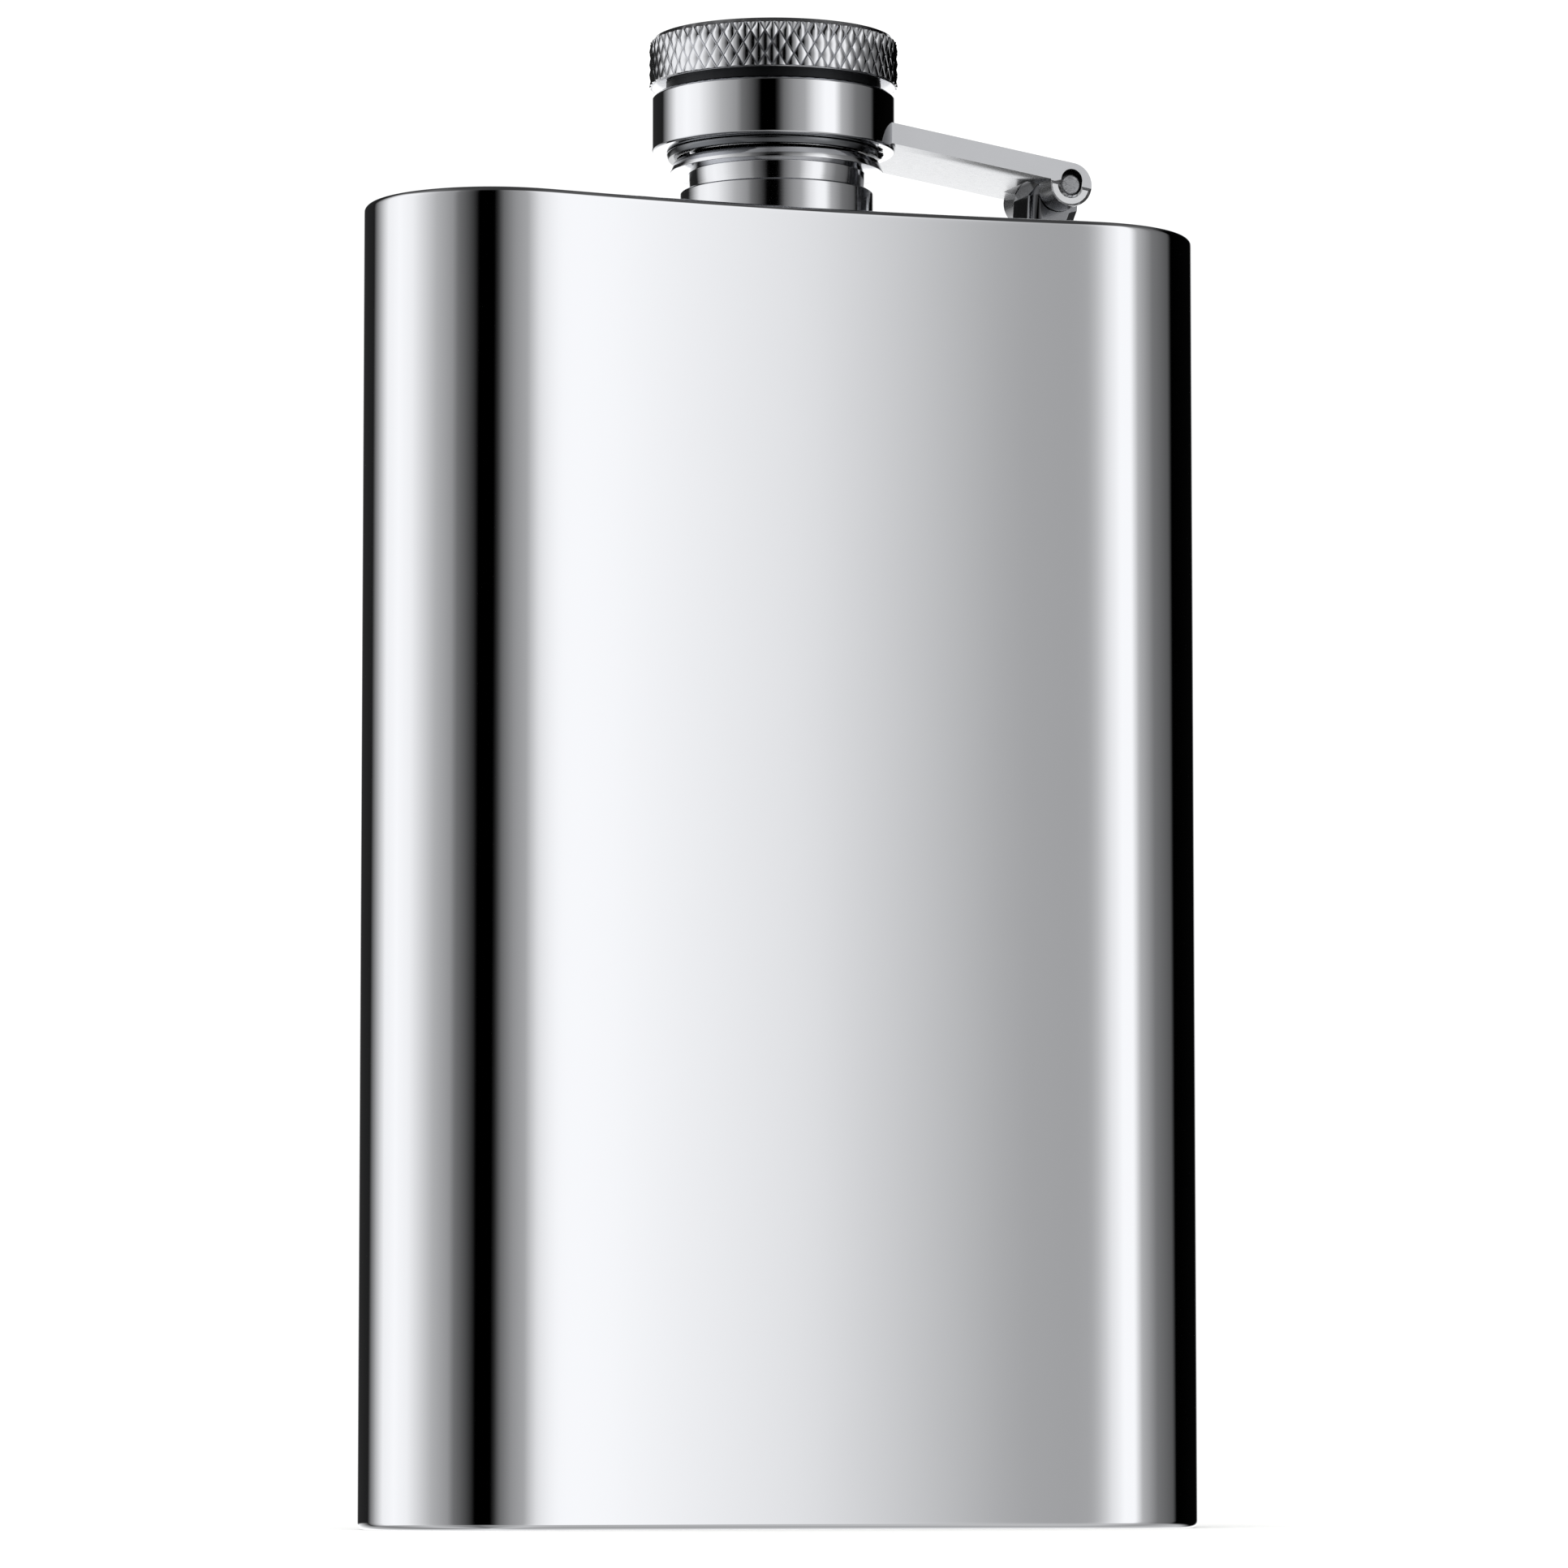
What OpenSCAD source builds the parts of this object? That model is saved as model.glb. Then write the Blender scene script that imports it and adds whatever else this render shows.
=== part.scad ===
// Curved pocket flask with a captive screw cap on a hinged arm.
// Millimetres, +Z up. The origin is where the axis of the neck meets the surface
// the flask stands on. +X points to the hinge, and the hollow face looks along -Y.

/* [Body] */
// Height of the body, from its base to the top of the shoulder plate
body_h = 114.3; // [80:0.1:160]
// Thickness of the body, front to back
body_t = 23; // [20:0.5:30]
// Distance between the centres of the two round ends
end_spacing = 52.9; // [46:0.1:80]
// Radius of the bend that fits the body to the hip
bend_r = 200; // [120:5:600]
// Thickness of the wrapped sheet
wall_t = 0.6; // [0.5:0.05:1.2]
// Thickness of the shoulder and base plates
plate_t = 0.9; // [0.8:0.05:1.5]
// Radius of the polished edge round the plates
edge_r = 0.6; // [0.2:0.05:0.7]

/* [Neck] */
// Radius of the drinking bore
bore_r = 5.9; // [5:0.1:6.2]
// Radius over the thread on the neck
neck_thread_r = 7.7; // [7.5:0.05:7.8]
// Radius of the collar that stands on the shoulder plate
neck_base_r = 8.55; // [8.2:0.05:9.5]
// Height of that collar
neck_base_h = 3.05; // [2:0.05:3.5]
// Radius of the undercut between the collar and the lip
undercut_r = 7.75; // [7:0.05:8]
// Radius of the stop lip at its sharp lower edge
lip_r = 9.45; // [9:0.05:9.5]
// Height of the underside of the lip above the shoulder plate
lip_z = 4.75; // [4.2:0.05:4.8]
// Height of the rim above the shoulder plate
rim_z = 9.9; // [9:0.1:9.9]
// Pitch of the thread
pitch = 1.4; // [1.2:0.05:1.5]

/* [Cap] */
// How far the loose cap sits off the axis of the neck
cap_x = -0.3; // [-0.35:0.05:0]
// Radius over the knurling of the knob
knob_r = 11; // [10.5:0.1:12]
// Height of the knurled band of the knob
knob_h = 4.35; // [3:0.05:6]
// Outside radius of the captive collar
collar_r = 10.75; // [10.5:0.05:11.5]
// Height of the captive collar
collar_h = 5.05; // [4:0.05:5.2]
// Height of the collar's lower face above the shoulder plate
collar_z = 6.6; // [6.6:0.05:7]
// Outside radius of the threaded insert
insert_r = 8.92; // [8.8:0.01:9]
// Radius of the flange at the foot of the insert
flange_r = 9.44; // [9.3:0.01:9.6]
// Gap between the collar and what turns in it
run_gap = 0.06; // [0.03:0.01:0.1]

/* [Hinge] */
// Distance from the axis of the neck to the hinge pin
pin_x = 25.7; // [24:0.1:28]
// Height of the pin above the shoulder plate
pin_z = 4.43; // [4:0.01:5]
// Radius of the pin
pin_r = 0.95; // [0.8:0.05:1.1]
// Radius of the knuckles round the pin
knuckle_r = 1.95; // [1.8:0.05:2.2]
// Width of the arm, front to back
arm_w = 11.6; // [9:0.1:13]
// Thickness of the arm
arm_t = 1.84; // [1.4:0.01:1.9]
// Slope of the arm down to the hinge, in degrees
arm_slope = 8.6; // [7:0.1:10]
// Width of the bracket's knuckle, between the arm's two
bracket_w = 5.4; // [4:0.1:7]
// Extra height of the slotted holes in the arm, which lets the cap rise as it unscrews
slot_play = 0.4; // [0:0.05:0.5]

/* [Hidden] */

$fn = 96;
bend_steps = 14;
end_steps = 26;

bend_angle = asin(end_spacing / 2 / bend_r);
end_y = bend_r * (cos(bend_angle) - 1);
end_r = body_t / 2;
edge_layers = 3;

// Screw thread: number of ridges, their depths, the width of a crest and the height of a flank
thread_turns = 2;
thread_depth = 0.5;
insert_thread_depth = 0.35;
crest_w = 0.3;
flank_h = pitch / 4;

// Clearances
thread_gap = 0.5;
collar_play = 0.08;
pin_play = 0.05;
liner_play = 0.05;
seal_gap = 0.1;
bracket_gap = 0.2;

// Stop lip and chamfers of the neck
lip_h = 0.95;
lip_taper = 0.35;
lip_top_z = lip_z + lip_h;
lip_top_r = lip_r - lip_taper;
rim_chamfer = 0.3;
small_chamfer = 0.15;

// Levels of the cap above the shoulder plate
flange_h = 0.54;
thread_lead = 0.6;
insert_roof_t = 1.9;
liner_t = 1;
hub_h = 0.69;
insert_z = collar_z - run_gap - flange_h;
liner_z = rim_z + seal_gap;
insert_thread_z = liner_z - thread_lead;
insert_top_z = liner_z + liner_t + insert_roof_t;
hub_z = collar_z + collar_h + run_gap;
band_z = hub_z + hub_h;

// Radii of the cap
insert_thread_r = neck_thread_r + thread_gap;
liner_r = insert_thread_r + insert_thread_depth;
hub_r = 9.5;
knob_chamfer = 0.35;
collar_bore_r = insert_r + collar_play;

// Hinge: the head of the bracket, its foot, its waist, and the stop on its left
hole_r = pin_r + pin_play;
fork_depth = 3.1;
bracket_r = knuckle_r - 0.05;
foot_left = 1.25 * bracket_r;
foot_right = 0.75 * bracket_r;
waist_z = 0.35 * pin_z;
waist_right = 0.9 * bracket_r;
stop_left = 1.4 * bracket_r;
stop_top = [-1.34 * bracket_r, pin_z - 0.25 * bracket_r];

// Points of an arc round centre, from one angle to another
function arc(centre, radius, from, to, steps) = [
    for (i = [0 : steps])
        let (a = from + (to - from) * i / steps)
            centre + radius * [cos(a), sin(a)]
];

// Outline of the body, set in from its outer surface: two long bends and two round ends.
// The ends start one step in, because the bends already end there.
module bent_slot(inset) {
    bend_centre = [0, -bend_r];
    right_end = [end_spacing / 2, end_y];
    left_end = [-end_spacing / 2, end_y];
    disc_r = end_r - inset;
    step = 180 / end_steps;
    polygon(concat(
        arc(bend_centre, bend_r + disc_r, 90 - bend_angle, 90 + bend_angle, bend_steps),
        arc(left_end, disc_r, 90 + bend_angle + step, 270 + bend_angle - step, end_steps - 2),
        arc(bend_centre, bend_r - disc_r, 90 + bend_angle, 90 - bend_angle, bend_steps),
        arc(right_end, disc_r, -90 - bend_angle + step, 90 - bend_angle - step, end_steps - 2)
    ));
}

// A plate the size of the body, its lower edge rounded off in thin layers
module edged_plate() {
    layer = edge_r / edge_layers;
    for (i = [0 : edge_layers - 1]) {
        drop = edge_r - (i + 0.5) * layer;
        translate([0, 0, i * layer]) linear_extrude(layer)
            bent_slot(edge_r - sqrt(edge_r * edge_r - drop * drop));
    }
    translate([0, 0, edge_r]) linear_extrude(plate_t - edge_r) bent_slot(0);
}

// Outline points of a thread's ridges, from z0 upwards (way = 1) or downwards (way = -1)
function ridges(z0, way, count, crest, root) = [
    for (i = [0 : count - 1]) for (p = [
        [root, flank_h - crest_w / 2],
        [crest, 2 * flank_h - crest_w / 2],
        [crest, 2 * flank_h + crest_w / 2],
        [root, 3 * flank_h + crest_w / 2]
    ]) [p[0], z0 + way * (i * pitch + p[1])]
];

module body_wall() {
    color("gainsboro")
        translate([0, 0, plate_t]) linear_extrude(body_h - 2 * plate_t)
            difference() {
                bent_slot(0);
                bent_slot(wall_t);
            }
}

module base_plate() {
    color("silver") edged_plate();
}

module shoulder_plate() {
    color("silver") difference() {
        translate([0, 0, body_h]) mirror([0, 0, 1]) edged_plate();
        translate([0, 0, body_h - 2 * plate_t])
            cylinder(r = undercut_r, h = 3 * plate_t);
    }
}

// Turned neck: spigot through the plate, collar, undercut, stop lip and thread
module neck_spout() {
    color("lightgray") translate([0, 0, body_h]) rotate_extrude() polygon(concat(
        [
            [bore_r, -plate_t],
            [undercut_r, -plate_t],
            [undercut_r, 0],
            [neck_base_r, 0],
            [neck_base_r, neck_base_h - small_chamfer],
            [neck_base_r - small_chamfer, neck_base_h],
            [undercut_r, neck_base_h],
            [undercut_r, lip_z],
            [lip_r, lip_z],
            [lip_top_r, lip_top_z],
            [neck_thread_r - thread_depth, lip_top_z]
        ],
        ridges(lip_top_z, 1, thread_turns, neck_thread_r, neck_thread_r - thread_depth),
        [
            [neck_thread_r - thread_depth, rim_z - rim_chamfer],
            [neck_thread_r - thread_depth - rim_chamfer, rim_z],
            [bore_r + rim_chamfer, rim_z],
            [bore_r, rim_z - rim_chamfer]
        ]
    ));
}

// Block with a round head and a stop shoulder, brazed to the shoulder plate
module hinge_bracket() {
    color("darkgray") translate([pin_x, bracket_w / 2, body_h]) rotate([90, 0, 0])
        linear_extrude(bracket_w) difference() {
            union() {
                translate([0, pin_z]) circle(bracket_r);
                polygon([
                    [-foot_left, 0],
                    [foot_right, 0],
                    [waist_right, waist_z],
                    [0.98 * bracket_r, pin_z - 0.15 * bracket_r],
                    [0, pin_z],
                    [-0.92 * bracket_r, pin_z + 0.38 * bracket_r],
                    stop_top,
                    [-stop_left, waist_z]
                ]);
            }
            translate([0, pin_z]) circle(pin_r);
        }
}

module hinge_pin() {
    color("dimgray") translate([pin_x, arm_w / 2, body_h + pin_z]) rotate([90, 0, 0])
        cylinder(r = pin_r, h = arm_w);
}

// Flat bar with two knuckles on the pin, cut to fit the side of the collar
module cap_arm() {
    reach = pin_x - cap_x;
    color("whitesmoke") difference() {
        translate([pin_x, 0, body_h + pin_z]) rotate([0, arm_slope, 0]) difference() {
            union() {
                rotate([90, 0, 0]) cylinder(r = knuckle_r, h = arm_w, center = true);
                translate([-reach, -arm_w / 2, knuckle_r - arm_t])
                    cube([reach, arm_w, arm_t]);
            }
            translate([-fork_depth, -bracket_w / 2 - bracket_gap, -2 * knuckle_r])
                cube([3 * fork_depth, bracket_w + 2 * bracket_gap, 4 * knuckle_r]);
            for (rise = [0, slot_play])
                translate([0, 0, rise]) rotate([90, 0, 0])
                    cylinder(r = hole_r, h = 2 * arm_w, center = true);
            translate([-hole_r, -arm_w, 0]) cube([2 * hole_r, 2 * arm_w, slot_play]);
        }
        translate([cap_x, 0, body_h])
            cylinder(r = collar_r, h = 2 * collar_z + collar_h);
    }
}

module captive_collar() {
    color("silver") translate([cap_x, 0, body_h + collar_z]) rotate_extrude() polygon([
        [collar_bore_r, 0],
        [collar_r - small_chamfer, 0],
        [collar_r, small_chamfer],
        [collar_r, collar_h - 2 * small_chamfer],
        [collar_r - 2 * small_chamfer, collar_h],
        [collar_bore_r, collar_h]
    ]);
}

// Inner cup with the screw thread, its foot flange under the collar
module threaded_insert() {
    flange_top_z = collar_z - run_gap;
    color("gray") translate([cap_x, 0, body_h]) rotate_extrude() polygon(concat(
        [
            [0, insert_top_z],
            [0, liner_z + liner_t],
            [liner_r, liner_z + liner_t],
            [liner_r, insert_thread_z]
        ],
        ridges(insert_thread_z, -1, thread_turns, insert_thread_r, liner_r),
        [
            [liner_r, insert_z],
            [flange_r - small_chamfer, insert_z],
            [flange_r, flange_top_z - small_chamfer],
            [flange_r, flange_top_z],
            [insert_r, flange_top_z],
            [insert_r, insert_top_z]
        ]
    ));
}

module knurled_knob() {
    top_z = band_z + knob_h;
    color("darkgray") translate([cap_x, 0, body_h]) rotate_extrude() polygon([
        [0, insert_top_z],
        [insert_r, insert_top_z],
        [insert_r, hub_z],
        [hub_r, hub_z],
        [hub_r, band_z],
        [knob_r - knob_chamfer, band_z],
        [knob_r, band_z + knob_chamfer],
        [knob_r, top_z - knob_chamfer],
        [knob_r - knob_chamfer, top_z],
        [0, top_z]
    ]);
}

// Soft washer that seals on the rim of the neck
module cap_liner() {
    color("ivory") translate([cap_x, 0, body_h + liner_z])
        cylinder(r = liner_r - liner_play, h = liner_t);
}

body_wall();
shoulder_plate();
base_plate();
neck_spout();
hinge_bracket();
hinge_pin();
cap_arm();
captive_collar();
threaded_insert();
knurled_knob();
cap_liner();
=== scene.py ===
import math

import bmesh
import bpy
from mathutils import Matrix, Vector


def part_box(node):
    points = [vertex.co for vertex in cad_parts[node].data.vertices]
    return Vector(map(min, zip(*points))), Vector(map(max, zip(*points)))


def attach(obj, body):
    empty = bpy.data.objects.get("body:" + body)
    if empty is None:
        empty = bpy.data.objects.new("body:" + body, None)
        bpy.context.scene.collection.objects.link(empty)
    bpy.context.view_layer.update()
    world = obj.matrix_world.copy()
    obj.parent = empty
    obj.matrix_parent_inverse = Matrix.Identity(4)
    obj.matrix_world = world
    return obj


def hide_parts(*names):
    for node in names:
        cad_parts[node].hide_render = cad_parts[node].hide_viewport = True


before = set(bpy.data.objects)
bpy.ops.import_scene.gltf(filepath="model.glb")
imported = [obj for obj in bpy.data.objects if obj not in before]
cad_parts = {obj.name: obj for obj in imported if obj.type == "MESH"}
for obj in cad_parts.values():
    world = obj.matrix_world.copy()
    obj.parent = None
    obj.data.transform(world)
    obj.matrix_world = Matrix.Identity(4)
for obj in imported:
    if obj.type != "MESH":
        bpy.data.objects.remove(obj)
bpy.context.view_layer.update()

MM = 0.001

# ---------------------------------------------------------------- camera
# A long lens stands low in front of the hollow face, turned to its left, and looks slightly up.
CAMERA_AZIMUTH = math.radians(-19.5)
CAMERA_DISTANCE = 640 * MM
CAMERA_HEIGHT = 6.15 * MM
CAMERA_SIDESTEP = 0.65 * MM
CAMERA_PITCH = math.radians(5.25)
CAMERA_LENS = 168.2
CAMERA_SENSOR = 36
CAMERA_NEAR = 10 * MM

to_camera = Vector((math.sin(CAMERA_AZIMUTH), -math.cos(CAMERA_AZIMUTH), 0))
to_right = Vector((math.cos(CAMERA_AZIMUTH), math.sin(CAMERA_AZIMUTH), 0))
look = -to_camera * math.cos(CAMERA_PITCH) + Vector((0, 0, math.sin(CAMERA_PITCH)))

camera = bpy.data.objects.new("camera", bpy.data.cameras.new("camera"))
camera.data.sensor_width = CAMERA_SENSOR
camera.data.lens = CAMERA_LENS
camera.data.clip_start = CAMERA_NEAR
camera.location = to_camera * CAMERA_DISTANCE + to_right * CAMERA_SIDESTEP
camera.location.z = CAMERA_HEIGHT
camera.rotation_mode = "QUATERNION"
camera.rotation_quaternion = look.to_track_quat("-Z", "Y")
bpy.context.scene.collection.objects.link(camera)
bpy.context.scene.camera = camera
bpy.context.scene.view_settings.view_transform = "Standard"


# ---------------------------------------------------------------- studio
# White soft boxes and black flags stand round the flask, and only polished metal mirrors them.
# Everything else stands in even white light. Each list runs once round the room: degrees from
# the camera, rising to the camera's right, and how light the room looks there, from 0 to 255.
EYE_LEVEL = [
    (-180, 235), (-170, 235), (-162, 40), (-130, 30), (-120, 150), (-105, 240), (-90, 250),
    (-75, 240), (-50, 175), (-35, 145), (-30, 110), (-15, 45), (-12, 0), (2, 0), (5, 45),
    (10, 105), (20, 145), (30, 165), (40, 225), (50, 250), (60, 250), (68, 175), (85, 115),
    (105, 85), (110, 0), (160, 5), (170, 235),
]
TABLE_LEVEL = [(-180, 254), (-164, 240)] + EYE_LEVEL[3:-1] + [(170, 254)]
TABLE_TOP = [(-180, 220), (-120, 120), (-60, 190), (-10, 110), (40, 190), (90, 150), (150, 190)]
OVERHEAD = [(-180, 60), (-120, 80), (-90, 105), (-60, 85), (0, 55), (60, 65), (90, 95), (120, 80)]
CEILING = 58
# Each band gives way to the next one between two elevations, in degrees.
TABLE_TOP_ENDS = (-32, -18)
TABLE_LEVEL_ENDS = (-6, -2)
EYE_LEVEL_ENDS = (34, 52)
OVERHEAD_ENDS = (62, 78)
STEEL_REFLECTS = 0.72
ROOM_WHITE = (1.1, 1.1, 1.1, 1)


def linear(hex_colour):
    """An sRGB hex colour as the linear colour that a shader takes."""
    channels = [int(hex_colour[i:i + 2], 16) / 255 for i in (0, 2, 4)]
    return [c / 12.92 if c <= 0.04045 else ((c + 0.055) / 1.055) ** 2.4 for c in channels] + [1]


def add(tree, kind, inputs=None, **settings):
    """Adds a shader node, sets its properties, and fills or links its inputs."""
    node = tree.nodes.new("ShaderNode" + kind)
    for name, value in settings.items():
        setattr(node, name, value)
    for socket, value in (inputs or {}).items():
        if isinstance(value, bpy.types.NodeSocket):
            tree.links.new(value, node.inputs[socket])
        else:
            node.inputs[socket].default_value = value
    return node


def fill_ramp(node, stops):
    """Gives a colour ramp its stops, each a position from 0 to 1 and a linear colour."""
    elements = node.color_ramp.elements
    elements.remove(elements[1])
    elements[0].position, elements[0].color = stops[0]
    for position, colour in stops[1:]:
        elements.new(position).color = colour


def grey(level):
    """A light level from 0 to 255 as the light that polished steel would mirror as that level."""
    shade = linear(f"{level:02x}" * 3)
    return [c / STEEL_REFLECTS for c in shade[:3]] + [1]


world = bpy.data.worlds.new("studio")
bpy.context.scene.world = world
world.use_nodes = True
world.cycles.sampling_method = "NONE"
sky = world.node_tree
sky.nodes.clear()
direction = add(sky, "TexCoord").outputs["Generated"]
ahead = add(sky, "VectorMath", {0: direction, 1: to_camera}, operation="DOT_PRODUCT")
across = add(sky, "VectorMath", {0: direction, 1: to_right}, operation="DOT_PRODUCT")
bearing = add(sky, "Math", {0: across.outputs["Value"], 1: ahead.outputs["Value"]},
              operation="ARCTAN2")
round_room = add(sky, "MapRange", {"Value": bearing.outputs[0], "From Min": -math.pi,
                                   "From Max": math.pi})
height = add(sky, "SeparateXYZ", {0: direction}).outputs["Z"]


def room_band(levels):
    """The light all round the room at one height."""
    ramp = add(sky, "ValToRGB", {0: round_room.outputs[0]})
    closed = levels + [(180, levels[0][1])]
    fill_ramp(ramp, [((angle + 180) / 360, grey(level)) for angle, level in closed])
    return ramp.outputs[0]


def above(ends, under, over):
    """Goes from the light under to the light over between two elevations in degrees."""
    low, high = (math.sin(math.radians(angle)) for angle in ends)
    step = add(sky, "MapRange", {"Value": height, "From Min": low, "From Max": high},
               interpolation_type="SMOOTHSTEP")
    mix = add(sky, "Mix", {0: step.outputs[0], 6: under, 7: over}, data_type="RGBA")
    return mix.outputs[2]


mirrored = above(TABLE_TOP_ENDS, room_band(TABLE_TOP), room_band(TABLE_LEVEL))
mirrored = above(TABLE_LEVEL_ENDS, mirrored, room_band(EYE_LEVEL))
mirrored = above(EYE_LEVEL_ENDS, mirrored, room_band(OVERHEAD))
mirrored = above(OVERHEAD_ENDS, mirrored, grey(CEILING))
ray = add(sky, "LightPath")
seen = add(sky, "Mix", {0: ray.outputs["Is Glossy Ray"], 6: ROOM_WHITE, 7: mirrored},
           data_type="RGBA")
background = add(sky, "Background", {"Color": seen.outputs[2]})
add(sky, "OutputWorld", {"Surface": background.outputs[0]})

# A large soft box overhead gives the flask its faint shadow.
SOFT_BOX_SIZE = 900 * MM
SOFT_BOX_WATTS = 3
SOFT_BOX_PLACE = (-300 * MM, -350 * MM, 800 * MM)

soft_box = bpy.data.objects.new("soft_box", bpy.data.lights.new("soft_box", "AREA"))
soft_box.data.shape = "DISK"
soft_box.data.size = SOFT_BOX_SIZE
soft_box.data.energy = SOFT_BOX_WATTS
soft_box.location = SOFT_BOX_PLACE
soft_box.rotation_mode = "QUATERNION"
soft_box.rotation_quaternion = (-soft_box.location).to_track_quat("-Z", "Y")
soft_box.visible_glossy = False
soft_box.visible_camera = False
bpy.context.scene.collection.objects.link(soft_box)


# ---------------------------------------------------------------- floor
# A plain pale table top, matt, that runs far past the edge of the view.
FLOOR_SIZE = 12000 * MM
FLOOR_SQUARES = 8
FLOOR_COLOUR = "F6F6F5"

table_top = bpy.data.materials.new("matt_white_laminate")
table_top.use_nodes = True
table_shader = table_top.node_tree.nodes["Principled BSDF"]
table_shader.inputs["Base Color"].default_value = linear(FLOOR_COLOUR)
table_shader.inputs["Roughness"].default_value = 0.9
table_shader.inputs["Specular IOR Level"].default_value = 0

table_mesh = bpy.data.meshes.new("floor")
table_bm = bmesh.new()
bmesh.ops.create_grid(table_bm, x_segments=FLOOR_SQUARES, y_segments=FLOOR_SQUARES,
                      size=FLOOR_SIZE / 2)
table_bm.to_mesh(table_mesh)
table_bm.free()
table_mesh.materials.append(table_top)
floor = bpy.data.objects.new("floor", table_mesh)
floor.visible_glossy = False
bpy.context.scene.collection.objects.link(floor)


# ---------------------------------------------------------------- body wall
# One sheet of stainless steel, wrapped round into a tube with two round ends, bent to fit the
# hip, and polished to a mirror. The plates are welded into its two ends.
POINT_SPACING = 0.6 * MM
EASING_PASSES = 12
WALL_THICKNESS = 0.6 * MM
RIM_MARGIN = 0.1 * MM
WAVE = 14 * MM
WAVE_DEPTH = 0.010 * MM
CLOUD = 9 * MM
POLISH_GRAIN = 0.25 * MM
POLISH_DEPTH = 0.00012 * MM
SHARP_ANGLE = math.radians(50)
# Lengths that differ by less than one of these count as equal.
JOIN = 0.01 * MM
SAME = 0.001 * MM

wall_lo, wall_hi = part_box("body_wall")
end_r = wall_hi.y
end_x = wall_hi.x - end_r
end_y = wall_lo.y + end_r
bend_r = (end_x ** 2 + end_y ** 2) / (-2 * end_y)
half_bend = math.asin(end_x / bend_r)


def new_material(name):
    """A material with its tree and its shader."""
    material = bpy.data.materials.new(name)
    material.use_nodes = True
    return material, material.node_tree, material.node_tree.nodes["Principled BSDF"]


def polish(name, colour, roughness, spread, wave_depth):
    """Stainless steel off the buffing wheel: a mirror with faint waves and a finer grain."""
    material, tree, shader = new_material(name)
    shader.inputs["Base Color"].default_value = linear(colour)
    shader.inputs["Metallic"].default_value = 1
    place = add(tree, "TexCoord").outputs["Object"]
    cloud = add(tree, "TexNoise", {"Vector": place, "Scale": 1 / CLOUD, "Detail": 4})
    gloss = add(tree, "MapRange", {"Value": cloud.outputs[0], "From Min": 0.3, "From Max": 0.7,
                                   "To Min": roughness, "To Max": roughness + spread})
    tree.links.new(gloss.outputs[0], shader.inputs["Roughness"])
    waves = add(tree, "TexNoise", {"Vector": place, "Scale": 1 / WAVE, "Detail": 1})
    swell = add(tree, "Bump", {"Height": waves.outputs[0], "Distance": wave_depth})
    grain = add(tree, "TexNoise", {"Vector": place, "Scale": 1 / POLISH_GRAIN, "Detail": 2})
    fine = add(tree, "Bump", {"Height": grain.outputs[0], "Distance": POLISH_DEPTH,
                              "Normal": swell.outputs[0]})
    tree.links.new(fine.outputs[0], shader.inputs["Normal"])
    return material


def body_outline(bm, z):
    """The edges of the body's outline at one height, with eased joins from bend to round end."""
    centre = Vector((0, -bend_r, z))
    right = Vector((end_x, end_y, z))
    left = Vector((-end_x, end_y, z))
    start = right + Matrix.Rotation(-half_bend, 3, "Z") @ Vector((0, end_r, 0))
    tip = [bm.verts.new(start)]
    for middle, angle in ((centre, 2 * half_bend), (left, math.pi),
                          (centre, -2 * half_bend), (right, math.pi)):
        length = abs(angle) * (tip[0].co - middle).length
        made = bmesh.ops.spin(bm, geom=tip, cent=middle, axis=(0, 0, 1), angle=angle,
                              steps=round(length / POINT_SPACING))
        tip = [v for v in made["geom_last"] if isinstance(v, bmesh.types.BMVert)]
    bmesh.ops.remove_doubles(bm, verts=bm.verts, dist=JOIN)
    for _ in range(EASING_PASSES):
        bmesh.ops.smooth_vert(bm, verts=bm.verts, factor=0.5, use_axis_x=True, use_axis_y=True)
    eased_x = max(v.co.x for v in bm.verts)
    bmesh.ops.scale(bm, verts=bm.verts, vec=(wall_hi.x / eased_x, 1, 1))
    return list(bm.edges)


def raise_edges(bm, edges, move):
    """Extrudes edges and moves the new ones. Returns the new edges."""
    made = bmesh.ops.extrude_edge_only(bm, edges=edges)["geom"]
    bmesh.ops.translate(bm, verts=[v for v in made if isinstance(v, bmesh.types.BMVert)], vec=move)
    return [e for e in made if isinstance(e, bmesh.types.BMEdge)]


def piece(name, bm, material, body, node):
    """Makes a mesh an object that rides on a body and stands for a CAD node."""
    bmesh.ops.recalc_face_normals(bm, faces=bm.faces)
    mesh = bpy.data.meshes.new(name)
    bm.to_mesh(mesh)
    bm.free()
    mesh.materials.append(material)
    made = bpy.data.objects.new(name, mesh)
    bpy.context.scene.collection.objects.link(made)
    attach(made, body)
    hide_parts(node)
    return made


def smooth(bm):
    """Shades every face smooth, and keeps the square corners sharp."""
    for face in bm.faces:
        face.smooth = True
    for edge in bm.edges:
        if len(edge.link_faces) == 2:
            edge.smooth = edge.calc_face_angle() < SHARP_ANGLE


def keep_flats_flat(made):
    """Lets the large faces set the shading at an edge, so that flat faces mirror as flat."""
    weights = made.modifiers.new("flat_faces", "WEIGHTED_NORMAL")
    weights.keep_sharp = True


mirror_steel = polish("mirror_polished_stainless_steel", colour="DADBDE", roughness=0.035,
                      spread=0.02, wave_depth=WAVE_DEPTH)

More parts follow.
